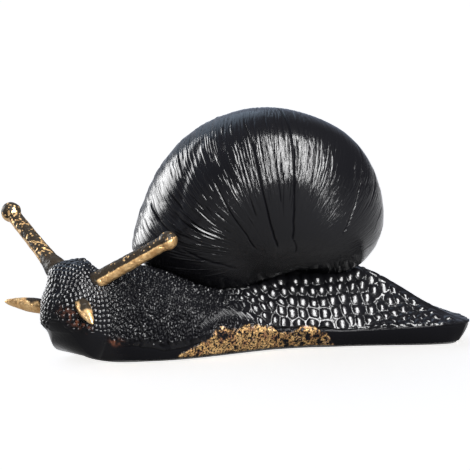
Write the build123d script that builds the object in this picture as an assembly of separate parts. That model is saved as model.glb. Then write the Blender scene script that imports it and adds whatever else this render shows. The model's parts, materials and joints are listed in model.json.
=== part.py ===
from build123d import *
import os
import numpy as np

# Snail ornament, cast in resin, lacquered black, with plated eye stalks and feelers.
# Millimetres, +Z up, +X towards the tail, -Y is the side that the head turns to.
# All shapes are worked out in a drafting frame whose ground is the foot's underside, and
# moved by SHIFT at the end, which puts the origin under the middle of the whole object.

# ---- driving dimensions ----------------------------------------------------------------
FELT_T = 1.0           # thickness of the felt sheet under the foot
FELT_IN = 2.2          # how far it stops short of the foot's edge

SEAT_GAP = 0.2         # clearance between the shell and its seat in the body
GLUE_T = 1.6           # thickness of the adhesive ring
GLUE_RO, GLUE_RI = 19.0, 10.5
SEAT_AT = (-1.0, 10.0) # middle of the seat in plan

DOWEL_R = 2.0
DOWEL_BELOW, DOWEL_ABOVE = 9.0, 7.5
DOWEL_AT = [(26.0, 19.0), (-18.0, 3.0)]
DOWEL_FIT = 0.05

# eye stalks: radius of the ball, of the shaft and of the foot on the head
STALK_LEFT = (3.6, 3.0, 3.5)
STALK_RIGHT = (4.1, 3.0, 4.4)
STALK_PIN_R = 1.2
STALK_PIN_IN, STALK_PIN_OUT = 6.5, 11.0

FEELER_LEFT_R, FEELER_RIGHT_R = 2.8, 3.0
FEELER_PIN_R = 0.75
FEELER_PIN_IN, FEELER_PIN_OUT = 5.0, 7.0
PIN_FIT = 0.04

# root on the head and end of each stalk and feeler (drafting frame)
EYE_LEFT = ((-53.0, -32.8, 31.2), (-25.4, -36.5, 47.2))
EYE_RIGHT = ((-70.9, -15.0, 34.0), (-90.3, 7.0, 52.5))
FEEL_LEFT = ((-59.3, -37.6, 24.4), (-53.2, -50.0, 17.6))
FEEL_RIGHT = ((-73.5, -18.5, 18.3), (-91.1, -14.0, 19.9))

# foot, neck and head: the spine in plan, tail to nose
SPINE = [(95.3, 6.5), (87, 10.5), (77, 14.5), (63, 18.7), (50, 20.8), (35, 21), (20, 18.8),
         (5, 14), (-10, 7), (-25, -1.2), (-38, -9), (-50, -17), (-60, -25), (-67, -33.5),
         (-70, -38.5)]
# along the spine: distance, half width to the near and the far rim, rim height, back height,
# undercut of the rim, height of the underside, and the shape of the flank
STATIONS = [
    (0.0, 4.5, 4.5, 7.4, 7.9, 3.4, 0.0, 0.70, 0.30, 0.40, 0.95),
    (4.0, 9.0, 8.5, 7.6, 8.8, 3.2, 0.0, 0.70, 0.25, 0.36, 0.90),
    (9.0, 13.0, 12.0, 7.7, 10.2, 3.0, 0.0, 0.70, 0.20, 0.30, 0.85),
    (20.0, 19.0, 18.0, 7.2, 14.9, 3.0, 0.0, 0.70, 0.16, 0.26, 0.74),
    (34.0, 23.5, 23.5, 6.6, 22.5, 3.0, 0.0, 0.70, 0.18, 0.28, 0.78),
    (48.0, 26.5, 26.5, 6.4, 28.2, 3.0, 0.0, 0.76, 0.30, 0.36, 0.90),
    (63.0, 28.5, 27.0, 6.6, 30.5, 3.0, 0.0, 0.82, 0.45, 0.50, 1.00),
    (78.0, 28.5, 26.0, 7.0, 30.5, 2.8, 0.0, 0.84, 0.50, 0.55, 1.02),
    (94.0, 28.2, 25.0, 7.6, 30.0, 2.4, 0.0, 0.86, 0.52, 0.58, 1.02),
    (110.0, 28.6, 24.0, 8.0, 30.0, 1.9, 0.0, 0.88, 0.55, 0.60, 1.02),
    (127.0, 28.3, 22.5, 8.2, 30.0, 1.4, 0.0, 0.88, 0.60, 0.62, 1.02),
    (143.0, 26.1, 20.5, 8.4, 29.6, 1.4, 0.0, 0.88, 0.62, 0.64, 1.02),
    (150.0, 24.2, 19.6, 8.5, 30.2, 1.8, 0.0, 0.89, 0.64, 0.66, 1.02),
    (156.0, 21.8, 18.4, 8.6, 32.2, 2.5, 0.0, 0.90, 0.66, 0.68, 1.03),
    (161.0, 19.8, 17.8, 8.9, 35.0, 3.2, 0.0, 0.92, 0.70, 0.72, 1.03),
    (165.5, 18.2, 17.0, 9.2, 37.0, 3.8, 0.0, 0.95, 0.73, 0.78, 1.03),
    (171.0, 16.8, 15.8, 10.5, 37.4, 5.0, 0.8, 0.98, 0.76, 0.80, 1.03),
    (177.0, 14.6, 14.0, 12.5, 36.2, 6.0, 3.8, 1.00, 0.76, 0.80, 1.02),
    (182.0, 11.4, 11.0, 15.0, 33.4, 5.5, 8.0, 1.00, 0.74, 0.78, 1.02),
    (185.5, 7.6, 7.5, 17.6, 30.0, 3.6, 12.2, 1.00, 0.73, 0.77, 1.02),
    (187.6, 3.2, 3.2, 20.0, 25.6, 1.6, 17.4, 1.00, 0.72, 0.76, 1.02),
]
RIM_V = 0.8
# how far the left cheek and the chin are set back, by height
CHEEK = [(0, 2.0), (1.5, 5.0), (3.2, 6.3), (6.5, 5.9), (9.9, 4.3), (13.5, 3.1), (17, 2.3), (23, 2.5),
         (26.2, 3.3), (29.3, 3.1), (33.5, 0.9), (36, 0.0), (60, 0.0)]
TAIL_END, TAIL_RUN = 5.0, 12.0   # rounding of the tail in plan, and of its underside

# shell: growing balls along a log spiral; tilt and turn of the axis, radius of the spiral at
# its end, growth per whorl, ball radius over spiral radius, drop along the axis, end angle
TILT, TURN, END_R, GROWTH, FATNESS, DROP, END_A = 35.8, -5.4, 25.9, 1.80, 1.18, 1.35, 179.7
SHELL_AXIS_AT = np.array([18.1, 17.7, 54.9])
SHELL_MID = np.array([9.0, 8.0, 56.0])
# full belly that closes the navel of the coil: middle and half sizes
BELLY_AT, BELLY_R = np.array([20.0, 0.5, 52.0]), np.array([33.0, 27.0, 25.0])
# gentle out-of-round of the whorl, every 10 degrees around the middle, seen from the side
OUT_OF_ROUND = [-0.017, -0.0215, -0.011, 0.003, 0.013, 0.0135, 0.017, 0.026, 0.036, 0.039, 0.0355,
                0.023, 0.015, 0.005, -0.009, -0.02, -0.03, -0.0325, -0.027, 0.012, 0.075, 0.03,
                -0.03, -0.053, -0.044, -0.022, -0.013, -0.001, -0.01, -0.068, -0.105, -0.074,
                -0.02, 0.015, 0.014, 0.001]


# ---- curves ----------------------------------------------------------------------------
def pchip(x, y, q):
    """Monotone cubic through (x, y) at q; y may have several columns."""
    x, y, q = np.asarray(x, float), np.asarray(y, float), np.asarray(q, float)
    h = np.diff(x)[:, None]
    d = np.diff(y, axis=0) / h
    m = np.zeros_like(y)
    w1, w2 = 2 * h[1:] + h[:-1], h[1:] + 2 * h[:-1]
    ok = d[:-1] * d[1:] > 0
    safe = lambda v: np.where(ok, v, 1.0)
    m[1:-1] = np.where(ok, (w1 + w2) / (w1 / safe(d[:-1]) + w2 / safe(d[1:])), 0)
    m[0], m[-1] = d[0], d[-1]
    i = np.clip(np.searchsorted(x, q, side="right") - 1, 0, len(x) - 2)
    t = ((q - x[i]) / (x[i + 1] - x[i]))[..., None]
    hh = (x[i + 1] - x[i])[..., None]
    return ((1 + 2 * t) * (1 - t) ** 2 * y[i] + t * (1 - t) ** 2 * hh * m[i]
            + t * t * (3 - 2 * t) * y[i + 1] + t * t * (t - 1) * hh * m[i + 1])


def natural(x, y, q):
    """Natural cubic spline through (x, y) at q, with its slope."""
    n, h = len(x), np.diff(x)
    a, b = np.zeros((n, n)), np.zeros_like(y)
    a[0, 0] = a[-1, -1] = 1
    for i in range(1, n - 1):
        a[i, i - 1], a[i, i], a[i, i + 1] = h[i - 1], 2 * (h[i - 1] + h[i]), h[i]
        b[i] = 6 * ((y[i + 1] - y[i]) / h[i] - (y[i] - y[i - 1]) / h[i - 1])
    m = np.linalg.solve(a, b)
    q = np.asarray(q, float)
    i = np.clip(np.searchsorted(x, q, side="right") - 1, 0, n - 2)
    hh, t1, t0 = h[i][..., None], (x[i + 1] - q)[..., None], (q - x[i])[..., None]
    val = (t1 ** 3 / (6 * hh) * m[i] + t0 ** 3 / (6 * hh) * m[i + 1]
           + (y[i] / hh - m[i] * hh / 6) * t1 + (y[i + 1] / hh - m[i + 1] * hh / 6) * t0)
    der = (-t1 ** 2 / (2 * hh) * m[i] + t0 ** 2 / (2 * hh) * m[i + 1]
           + (y[i + 1] - y[i]) / hh - hh / 6 * (m[i + 1] - m[i]))
    return val, der


SP = np.array(SPINE, float)
SP_AT = np.concatenate([[0], np.cumsum(np.linalg.norm(np.diff(SP, axis=0), axis=1))])
TAB = np.array(STATIONS)


def spine(s):
    p, d = natural(SP_AT, SP, s)
    d = d / np.linalg.norm(d, axis=-1, keepdims=True)
    return p, np.stack([-d[..., 1], d[..., 0]], -1)      # point, and the way to the near side


def section(s, v, sink=0.0):
    """Points of the body's cross-section at s. v runs from the near base corner (-1) over the
    near rim, the back (0) and the far rim to the far base corner (1)."""
    v = np.asarray(v, float)
    s = np.full(v.shape, float(s))
    wn, wf, zc, zt, bi, zb, a1, b1, a2, b2 = np.moveaxis(pchip(TAB[:, 0], TAB[:, 1:], s), -1, 0)
    w, av, h = np.where(v < 0, wn, wf), np.abs(v), zt - zc
    a = np.clip(1 - av / RIM_V, 0, 1)
    lat = (1 - a) ** 3 * w + 3 * a * (1 - a) ** 2 * w * a1 + 3 * a * a * (1 - a) * w * a2
    z = ((1 - a) ** 3 * zc + 3 * a * (1 - a) ** 2 * (zc + h * b1)
         + 3 * a * a * (1 - a) * (zc + h * b2) + a ** 3 * zt)
    r = np.clip((av - RIM_V) / (1 - RIM_V), 0, 1)
    lat = np.where(av > RIM_V, w - bi * (0.35 * r + 0.65 * r * r), lat)
    z = np.where(av > RIM_V, zc + (zb - sink - zc) * r, z)
    # left cheek and chin set back
    k = np.clip((s - 150) / 18, 0, 1)
    back = 1.1 * np.interp(z, *np.array(CHEEK, float).T) * k * k * (3 - 2 * k) * np.minimum(wf / 12, 1)
    lat = np.where(v > 0, lat - back * lat / wf, lat)
    k = np.clip(1 - s / TAIL_END, 0, 1)
    lat = lat * (0.35 + 0.65 * np.sqrt(1 - k * k))
    p, n = spine(s)
    xy = p + n * (lat * -np.sign(v))[:, None]
    # tail's underside and end drawn in; every section stays flat
    run = np.clip(1 - s / TAIL_RUN, 0, 1) ** 2
    xy[:, 0] -= run * (0.9 + 3.4 * (1 - z / 7.5))
    return np.concatenate([xy, z[:, None]], 1)


def unit(v):
    return v / np.linalg.norm(v)


tilt, turn = np.radians(TILT), np.radians(TURN)
AXIS = np.array([np.cos(tilt) * np.sin(turn), -np.cos(tilt) * np.cos(turn), -np.sin(tilt)])
E1 = unit(np.array([1.0, 0, 0]) - AXIS * AXIS[0])
E2 = np.cross(E1, AXIS)
E2 = E2 if E2[2] > 0 else -E2
_a = np.radians(END_A) - np.linspace(3.2 * 2 * np.pi, 0, 700)
_g = GROWTH ** ((_a - np.radians(END_A)) / (2 * np.pi))
BALLS = (SHELL_AXIS_AT + (END_R * _g)[:, None] * (np.cos(_a)[:, None] * E1 + np.sin(_a)[:, None] * E2)
         + (DROP * END_R * (_g - 0.6))[:, None] * AXIS)
BALL_R = FATNESS * END_R * _g
SIDE = np.array([0, np.cos(np.radians(8)), -np.sin(np.radians(8))])
SIDE_UP = np.array([0, np.sin(np.radians(8)), np.cos(np.radians(8))])


def shell_radius(d):
    """Distance from SHELL_MID to the shell's outside along each unit direction."""
    d = np.asarray(d, float)
    shape, d = d.shape[:-1], d.reshape(-1, 3)
    m = BALLS - SHELL_MID
    b = d @ m.T
    disc = b * b - (m ** 2).sum(1) + BALL_R ** 2
    r = np.where(disc > 0, b + np.sqrt(np.maximum(disc, 0)), 0).max(1)
    q = SHELL_MID - BELLY_AT
    a, b = ((d / BELLY_R) ** 2).sum(1), (d * q / BELLY_R ** 2).sum(1)
    c = ((q / BELLY_R) ** 2).sum() - 1
    r = (r ** 12 + ((-b + np.sqrt(b * b - a * c)) / a) ** 12) ** (1 / 12)
    th = np.degrees(np.arctan2(d @ SIDE_UP, d[:, 0])) % 360
    f = np.interp(th, np.arange(0, 361, 10), OUT_OF_ROUND + OUT_OF_ROUND[:1])
    r = r * (1 + f * np.clip(1 - (d @ SIDE) ** 2, 0, 1) ** 1.5)
    return r.reshape(shape)


N_RING = 52
RING_A = np.arange(N_RING) * 2 * np.pi / N_RING
RING = np.stack([0 * RING_A, np.cos(RING_A), np.sin(RING_A)], -1)


def shell_tip(way):
    """Point of the shell furthest along +X or -X."""
    t, a = np.meshgrid(np.radians(np.linspace(0.5, 60, 120)), RING_A, indexing="ij")
    d = np.stack([way * np.cos(t), np.sin(t) * np.cos(a), np.sin(t) * np.sin(a)], -1)
    p = SHELL_MID + d * shell_radius(d)[..., None]
    return p.reshape(-1, 3)[np.argmax(way * p[..., 0])]


FRONT, REAR = shell_tip(-1), shell_tip(1)


def shell_ring(x, offset):
    """Outline of the shell, grown by offset, in the plane at x."""
    side = FRONT if x < SHELL_MID[0] else REAR
    k = (x - SHELL_MID[0]) / (side[0] - SHELL_MID[0])
    c = SHELL_MID + (side - SHELL_MID) * k
    lo, hi = np.zeros(N_RING), np.full(N_RING, 90.0)
    for _ in range(40):
        t = (lo + hi) / 2
        p = c + RING * t[:, None] - SHELL_MID
        dist = np.linalg.norm(p, axis=1)
        inside = dist < shell_radius(p / dist[:, None]) + offset
        lo, hi = np.where(inside, t, lo), np.where(inside, hi, t)
    return c + RING * lo[:, None]


def closed_wire(points):
    return Wire([Spline(*[Vector(*map(float, p)) for p in points], periodic=True)])


def shell_solid(offset, steps=25):
    """The shell's outside, grown by offset, lofted through slices across X."""
    lo, hi = FRONT[0] - offset, REAR[0] + offset
    u = 0.5 - 0.5 * np.cos(np.linspace(0.16, np.pi - 0.16, steps))
    return Solid.make_loft([closed_wire(shell_ring(x, offset)) for x in lo + (hi - lo) * u])


def body_solid():
    """Foot, neck and head, lofted through sections square to the spine, cut flat below."""
    wires = []
    marks = [0, 1.2, 3.2, 6.5, 12, 20, 30, 42, 54, 66, 78, 90, 102, 114, 126, 138, 147, 154, 160,
             165, 170, 175, 179.5, 183, 185.5, 187.6]
    for s in marks:
        x = min(max((s - 168) / 12, 0), 1)
        sink = 2.0 * (1 - x * x * (3 - 2 * x))
        over = section(s, np.linspace(-RIM_V, RIM_V, 25), sink)
        near = section(s, np.linspace(-1, -RIM_V, 5), sink)
        far = section(s, np.linspace(RIM_V, 1, 5), sink)
        vec = lambda pts: [Vector(*map(float, p)) for p in pts]
        wires.append(Wire([Spline(*vec(near)), Spline(*vec(over)), Spline(*vec(far)),
                           Line(vec(far)[-1], vec(near)[0])]))
    solid = Solid.make_loft(wires)
    return solid & Pos(0, 0, 50) * Box(400, 400, 100)


def along(root, end):
    """A frame at root whose Z runs to end."""
    r, e = Vector(*root), Vector(*end)
    return Plane(origin=r, z_dir=e - r), (e - r).length


def revolved(low, line, top_r, top_at):
    """Stem with a spline side from its foot, closed by a ball-shaped end at top_at."""
    side = Spline(*[(r, z) for r, z in line])
    r1, z1 = line[-1]
    ang = np.arctan2(z1 - top_at, r1)
    if top_r:
        mid = (ang + np.pi / 2) / 2
        arc = ThreePointArc((r1, z1), (top_r * float(np.cos(mid)), top_at + top_r * float(np.sin(mid))),
                            (0, top_at + top_r))
        top = (0, top_at + top_r)
        edges = [Line((0, low), line[0]), side, arc, Line(top, (0, low))]
    else:
        edges = [Line((0, low), line[0]), side, Line(line[-1], (0, line[-1][1])),
                 Line((0, line[-1][1]), (0, low))]
    face = Plane.XZ * make_face(edges)
    return revolve(face, Axis.Z)


def eye_stalk(root, end, radii):
    plane, length = along(root, end)
    rb, r, r_root = radii
    r_neck = r - 0.12
    z_neck = length - (rb ** 2 - r_neck ** 2) ** 0.5
    flare = r_root - r
    line = [(r + 1.1 * flare, -3.0), (r_root, -0.6), (r + 0.55 * flare, 2.4),
            (r + 0.2 * flare + 0.1, 6.0), (r + 0.1, 12.0), (r, 20.0), (r_neck, z_neck)]
    stem = revolved(-3.0, line, rb, length)
    pin = Pos(0, 0, (STALK_PIN_OUT - STALK_PIN_IN) / 2) * Cylinder(STALK_PIN_R, STALK_PIN_IN + STALK_PIN_OUT)
    bore = Pos(0, 0, (STALK_PIN_OUT - STALK_PIN_IN) / 2) * Cylinder(
        STALK_PIN_R + PIN_FIT, STALK_PIN_IN + STALK_PIN_OUT + 0.6)
    at = plane.location
    return at * stem, at * pin, at * bore


def feeler(root, end, r):
    plane, length = along(root, end)
    k = length / 14.8
    line = [(0.86 * r, -2.5), (0.93 * r, 0.0), (0.99 * r, 3.0 * k), (0.97 * r, 5.5 * k), (0.78 * r, 9.0 * k),
            (0.5 * r, 12.2 * k), (0.15 * r, 14.6 * k)]
    stem = revolved(-2.5, line, 0, 0)
    pin = Pos(0, 0, (FEELER_PIN_OUT - FEELER_PIN_IN) / 2) * Cylinder(FEELER_PIN_R, FEELER_PIN_IN + FEELER_PIN_OUT)
    bore = Pos(0, 0, (FEELER_PIN_OUT - FEELER_PIN_IN) / 2) * Cylinder(
        FEELER_PIN_R + PIN_FIT, FEELER_PIN_IN + FEELER_PIN_OUT + 0.5)
    at = plane.location
    return at * stem, at * pin, at * bore


def shell_bottom(x, y):
    """Height of the shell's underside above the ground at (x, y)."""
    z = np.linspace(SHELL_MID[2] - 2, 0, 800)
    p = np.stack([np.full_like(z, x), np.full_like(z, y), z], 1) - SHELL_MID
    dist = np.linalg.norm(p, axis=1)
    inside = dist < shell_radius(p / dist[:, None])
    return float(z[inside].min())


def group(shapes):
    """Like pieces kept together, each still a solid of its own."""
    return Compound([s.solid() for s in shapes])


# ---- the pieces ------------------------------------------------------------------------
body_full = body_solid()
shell_out = shell_solid(0.0)

# shell casting: filled, with two bores for the dowels
dowels, dowel_bores = [], []
for x, y in DOWEL_AT:
    z0 = shell_bottom(x, y)
    zc = z0 + (DOWEL_ABOVE - DOWEL_BELOW) / 2
    dowels.append(Pos(x, y, zc) * Cylinder(DOWEL_R, DOWEL_BELOW + DOWEL_ABOVE))
    dowel_bores.append(Pos(x, y, zc) * Cylinder(DOWEL_R + DOWEL_FIT, DOWEL_BELOW + DOWEL_ABOVE + 0.5))
shell = shell_out
for b in dowel_bores:
    shell = shell - b

# seat: the shell's outside let into the body, with an adhesive ring under it
ring = Pos(SEAT_AT[0], SEAT_AT[1], 16) * (Cylinder(GLUE_RO, 16) - Cylinder(GLUE_RI, 18))
glue = (ring & shell_solid(GLUE_T)) - shell_out
body = body_full - shell_solid(SEAT_GAP) - (ring & shell_solid(GLUE_T))
for b in dowel_bores:
    body = body - b
    glue = glue - b

# stalks and feelers, trimmed to the skin of the head, on their pins
pieces = {}
eye_pins, feel_pins = [], []
for name, (root, end), radii in (("eye_stalk_left", EYE_LEFT, STALK_LEFT),
                                 ("eye_stalk_right", EYE_RIGHT, STALK_RIGHT)):
    stem, pin, bore = eye_stalk(root, end, radii)
    pieces[name] = stem - body_full - bore
    body = body - bore
    eye_pins.append(pin)
for name, (root, end), r in (("feeler_left", FEEL_LEFT, FEELER_LEFT_R),
                             ("feeler_right", FEEL_RIGHT, FEELER_RIGHT_R)):
    stem, pin, bore = feeler(root, end, r)
    pieces[name] = stem - body_full - bore
    body = body - bore
    feel_pins.append(pin)

# felt sheet, cut to the foot's outline
at = np.concatenate([np.linspace(6, 60, 8), np.linspace(72, 162, 10)])
near, far = [section(s, [-1.0])[0] for s in at], [section(s, [1.0])[0] for s in at]
side = [spine(s)[1] for s in at]
rim = ([p[:2] - n * FELT_IN for p, n in zip(near, side)] + [p[:2] + n * FELT_IN for p, n in zip(far, side)][::-1])
outline = Wire([Spline(*[Vector(float(x), float(y), -FELT_T) for x, y in rim], periodic=True)])
felt = extrude(make_face(outline.edges()), FELT_T, dir=(0, 0, 1))

pieces["body_casting"] = body
pieces["shell_casting"] = shell
pieces["shell_glue_bed"] = glue
pieces["shell_dowels"] = group(dowels)
pieces["eye_stalk_pins"] = group(eye_pins)
pieces["feeler_pins"] = group(feel_pins)
pieces["felt_base"] = felt

# ---- one frame: origin under the middle of the whole, felt on the ground -------------------
boxes = [p.bounding_box() for p in pieces.values()]
lo = [min(getattr(b.min, k) for b in boxes) for k in "XYZ"]
hi = [max(getattr(b.max, k) for b in boxes) for k in "XYZ"]
SHIFT = (-(lo[0] + hi[0]) / 2, -(lo[1] + hi[1]) / 2, FELT_T)
print("drafting box", [round(v, 3) for v in lo], [round(v, 3) for v in hi], "shift", [round(v, 4) for v in SHIFT])

os.makedirs("parts", exist_ok=True)
for name, shape in pieces.items():
    export_step(Pos(*SHIFT) * shape, "parts/" + name + ".step")
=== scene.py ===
import math

import bpy
import numpy as np
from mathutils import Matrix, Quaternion, Vector
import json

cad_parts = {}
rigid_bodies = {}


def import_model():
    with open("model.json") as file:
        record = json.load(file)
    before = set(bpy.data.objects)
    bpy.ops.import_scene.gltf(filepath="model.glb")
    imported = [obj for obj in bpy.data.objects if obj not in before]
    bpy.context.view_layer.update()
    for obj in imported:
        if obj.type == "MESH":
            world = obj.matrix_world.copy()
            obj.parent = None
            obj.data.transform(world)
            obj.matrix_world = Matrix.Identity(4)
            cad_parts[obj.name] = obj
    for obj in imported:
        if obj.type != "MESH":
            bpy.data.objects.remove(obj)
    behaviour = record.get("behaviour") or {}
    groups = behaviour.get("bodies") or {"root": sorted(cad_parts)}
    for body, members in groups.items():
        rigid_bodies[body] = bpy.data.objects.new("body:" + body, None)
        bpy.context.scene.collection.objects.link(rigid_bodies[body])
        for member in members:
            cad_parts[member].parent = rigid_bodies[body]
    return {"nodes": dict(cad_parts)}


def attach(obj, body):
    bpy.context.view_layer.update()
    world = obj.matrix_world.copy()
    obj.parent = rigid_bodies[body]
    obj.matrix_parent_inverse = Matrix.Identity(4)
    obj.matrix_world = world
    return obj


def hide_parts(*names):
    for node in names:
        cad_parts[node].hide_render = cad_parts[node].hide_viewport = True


# Snail ornament: black lacquer over textured resin, plated stalks, gilded patch on the foot.
# The forms are worked out in millimetres in a drafting frame whose ground is the foot's
# underside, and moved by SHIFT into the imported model's frame.

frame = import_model()

SHIFT = np.array([-0.5456, 0.9686, 1.0])

# ---- the camera: level with the foot, a little above, as in the photograph ----------------
scene = bpy.context.scene
TARGET = Vector((-0.000546, 0.000969, 0.0452))
ELEV = math.radians(8)
camera = bpy.data.objects.new("camera", bpy.data.cameras.new("camera"))
scene.collection.objects.link(camera)
camera.location = TARGET + Vector((0, -math.cos(ELEV), math.sin(ELEV))) * 0.7
camera.rotation_euler = (TARGET - camera.location).to_track_quat("-Z", "Y").to_euler()
camera.data.sensor_width = 36
camera.data.lens = 1750 / 470 * 36
camera.data.clip_start = 0.01
camera.data.clip_end = 200
scene.camera = camera
scene.view_settings.view_transform = "Standard"


# ---- curves -------------------------------------------------------------------------------
def unit(v):
    return v / np.maximum(np.linalg.norm(v, axis=-1, keepdims=True), 1e-12)


def smooth(lo, hi, x):
    t = np.clip((x - lo) / (hi - lo), 0, 1)
    return t * t * (3 - 2 * t)


def pchip(x, y, q):
    """Monotone cubic through (x, y) at q; y may have several columns."""
    x, y, q = np.asarray(x, float), np.asarray(y, float), np.asarray(q, float)
    one = y.ndim == 1
    y = y[:, None] if one else y
    h = np.diff(x)[:, None]
    d = np.diff(y, axis=0) / h
    m = np.zeros_like(y)
    w1, w2 = 2 * h[1:] + h[:-1], h[1:] + 2 * h[:-1]
    ok = d[:-1] * d[1:] > 0
    safe = lambda v: np.where(ok, v, 1.0)
    m[1:-1] = np.where(ok, (w1 + w2) / (w1 / safe(d[:-1]) + w2 / safe(d[1:])), 0)
    m[0], m[-1] = d[0], d[-1]
    q = np.clip(q, x[0], x[-1])
    i = np.clip(np.searchsorted(x, q, side="right") - 1, 0, len(x) - 2)
    t = ((q - x[i]) / (x[i + 1] - x[i]))[..., None]
    hh = (x[i + 1] - x[i])[..., None]
    r = ((1 + 2 * t) * (1 - t) ** 2 * y[i] + t * (1 - t) ** 2 * hh * m[i]
         + t * t * (3 - 2 * t) * y[i + 1] + t * t * (t - 1) * hh * m[i + 1])
    return r[..., 0] if one else r


def natural(x, y, q):
    """Natural cubic spline through (x, y) at q, with its slope."""
    n, h = len(x), np.diff(x)
    a, b = np.zeros((n, n)), np.zeros_like(y)
    a[0, 0] = a[-1, -1] = 1
    for i in range(1, n - 1):
        a[i, i - 1], a[i, i], a[i, i + 1] = h[i - 1], 2 * (h[i - 1] + h[i]), h[i]
        b[i] = 6 * ((y[i + 1] - y[i]) / h[i] - (y[i] - y[i - 1]) / h[i - 1])
    m = np.linalg.solve(a, b)
    q = np.asarray(q, float)
    i = np.clip(np.searchsorted(x, q, side="right") - 1, 0, n - 2)
    hh, t1, t0 = h[i][..., None], (x[i + 1] - q)[..., None], (q - x[i])[..., None]
    val = (t1 ** 3 / (6 * hh) * m[i] + t0 ** 3 / (6 * hh) * m[i + 1]
           + (y[i] / hh - m[i] * hh / 6) * t1 + (y[i + 1] / hh - m[i + 1] * hh / 6) * t0)
    der = (-t1 ** 2 / (2 * hh) * m[i] + t0 ** 2 / (2 * hh) * m[i + 1]
           + (y[i + 1] - y[i]) / hh - hh / 6 * (m[i + 1] - m[i]))
    return val, der


# ---- repeatable noise ---------------------------------------------------------------------
def hashed(ix, iy, iz, seed):
    n = (ix * 73856093) ^ (iy * 19349663) ^ (iz * 83492791) ^ (seed * 97531)
    n = n & 0x7FFFFFFF
    n = ((n ^ (n >> 13)) * 1274126177) & 0x7FFFFFFF
    n = ((n ^ (n >> 16)) * 668265263) & 0x7FFFFFFF
    n = n ^ (n >> 15)
    return (n & 0xFFFFF) / float(0xFFFFF)


def noise(p, size, seed):
    """Smooth noise from -1 to 1 with cells of that size."""
    q = p / size
    i = np.floor(q).astype(np.int64)
    f = q - i
    f = f * f * (3 - 2 * f)
    out = np.zeros(p.shape[:-1])
    for dx in (0, 1):
        wx = f[..., 0] if dx else 1 - f[..., 0]
        for dy in (0, 1):
            wy = f[..., 1] if dy else 1 - f[..., 1]
            for dz in (0, 1):
                wz = f[..., 2] if dz else 1 - f[..., 2]
                out += wx * wy * wz * hashed(i[..., 0] + dx, i[..., 1] + dy, i[..., 2] + dz, seed)
    return out * 2 - 1


# ---- foot, neck and head ------------------------------------------------------------------
SPINE = [(95.3, 6.5), (87, 10.5), (77, 14.5), (63, 18.7), (50, 20.8), (35, 21), (20, 18.8),
         (5, 14), (-10, 7), (-25, -1.2), (-38, -9), (-50, -17), (-60, -25), (-67, -33.5),
         (-70, -38.5)]
# distance along the spine, half width near and far, rim height, back height, undercut,
# underside height, flank shape
STATIONS = [
    (0.0, 4.5, 4.5, 7.4, 7.9, 3.4, 0.0, 0.70, 0.30, 0.40, 0.95),
    (4.0, 9.0, 8.5, 7.6, 8.8, 3.2, 0.0, 0.70, 0.25, 0.36, 0.90),
    (9.0, 13.0, 12.0, 7.7, 10.2, 3.0, 0.0, 0.70, 0.20, 0.30, 0.85),
    (20.0, 19.0, 18.0, 7.2, 14.9, 3.0, 0.0, 0.70, 0.16, 0.26, 0.74),
    (34.0, 23.5, 23.5, 6.6, 22.5, 3.0, 0.0, 0.70, 0.18, 0.28, 0.78),
    (48.0, 26.5, 26.5, 6.4, 28.2, 3.0, 0.0, 0.76, 0.30, 0.36, 0.90),
    (63.0, 28.5, 27.0, 6.6, 30.5, 3.0, 0.0, 0.82, 0.45, 0.50, 1.00),
    (78.0, 28.5, 26.0, 7.0, 30.5, 2.8, 0.0, 0.84, 0.50, 0.55, 1.02),
    (94.0, 28.2, 25.0, 7.6, 30.0, 2.4, 0.0, 0.86, 0.52, 0.58, 1.02),
    (110.0, 28.6, 24.0, 8.0, 30.0, 1.9, 0.0, 0.88, 0.55, 0.60, 1.02),
    (127.0, 28.3, 22.5, 8.2, 30.4, 1.4, 0.0, 0.88, 0.60, 0.62, 1.02),
    (143.0, 26.1, 20.5, 8.4, 32.4, 1.4, 0.0, 0.88, 0.62, 0.64, 1.02),
    (150.0, 24.2, 19.6, 8.5, 33.1, 1.8, 0.0, 0.89, 0.64, 0.66, 1.02),
    (156.0, 21.8, 18.4, 8.6, 34.0, 2.5, 0.0, 0.90, 0.66, 0.68, 1.03),
    (161.0, 19.8, 17.8, 8.9, 35.0, 3.2, 0.0, 0.92, 0.70, 0.72, 1.03),
    (165.5, 18.2, 17.0, 9.2, 37.0, 3.8, 0.0, 0.95, 0.73, 0.78, 1.03),
    (171.0, 16.8, 15.8, 10.5, 37.4, 5.0, 0.8, 0.98, 0.76, 0.80, 1.03),
    (177.0, 14.6, 14.0, 12.5, 36.2, 6.0, 3.8, 1.00, 0.76, 0.80, 1.02),
]
RIM_V = 0.8
NOSE_S, NOSE_L, NOSE_P, NOSE_Z = 171.0, 17.2, 1.8, 20.5
TAIL_END, TAIL_RUN = 5.0, 12.0
SP = np.array(SPINE, float)
SP_AT = np.concatenate([[0], np.cumsum(np.linalg.norm(np.diff(SP, axis=0), axis=1))])
TAB = np.array(STATIONS)


def spine(s):
    p, d = natural(SP_AT, SP, s)
    d = unit(d)
    return p, np.stack([-d[..., 1], d[..., 0]], -1)


def cheek(z):
    """How far the left cheek and the chin are set back, by height."""
    low = (2.4 + 1.3 * smooth(16, 10, z) + 0.5 * np.exp(-((z - 9.5) / 2.5) ** 2)
           + 1.2 * np.exp(-(z / 1.3) ** 2))
    return low * smooth(36, 30, z) + 0.8 * np.exp(-((z - 28) / 3.0) ** 2)


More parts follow.
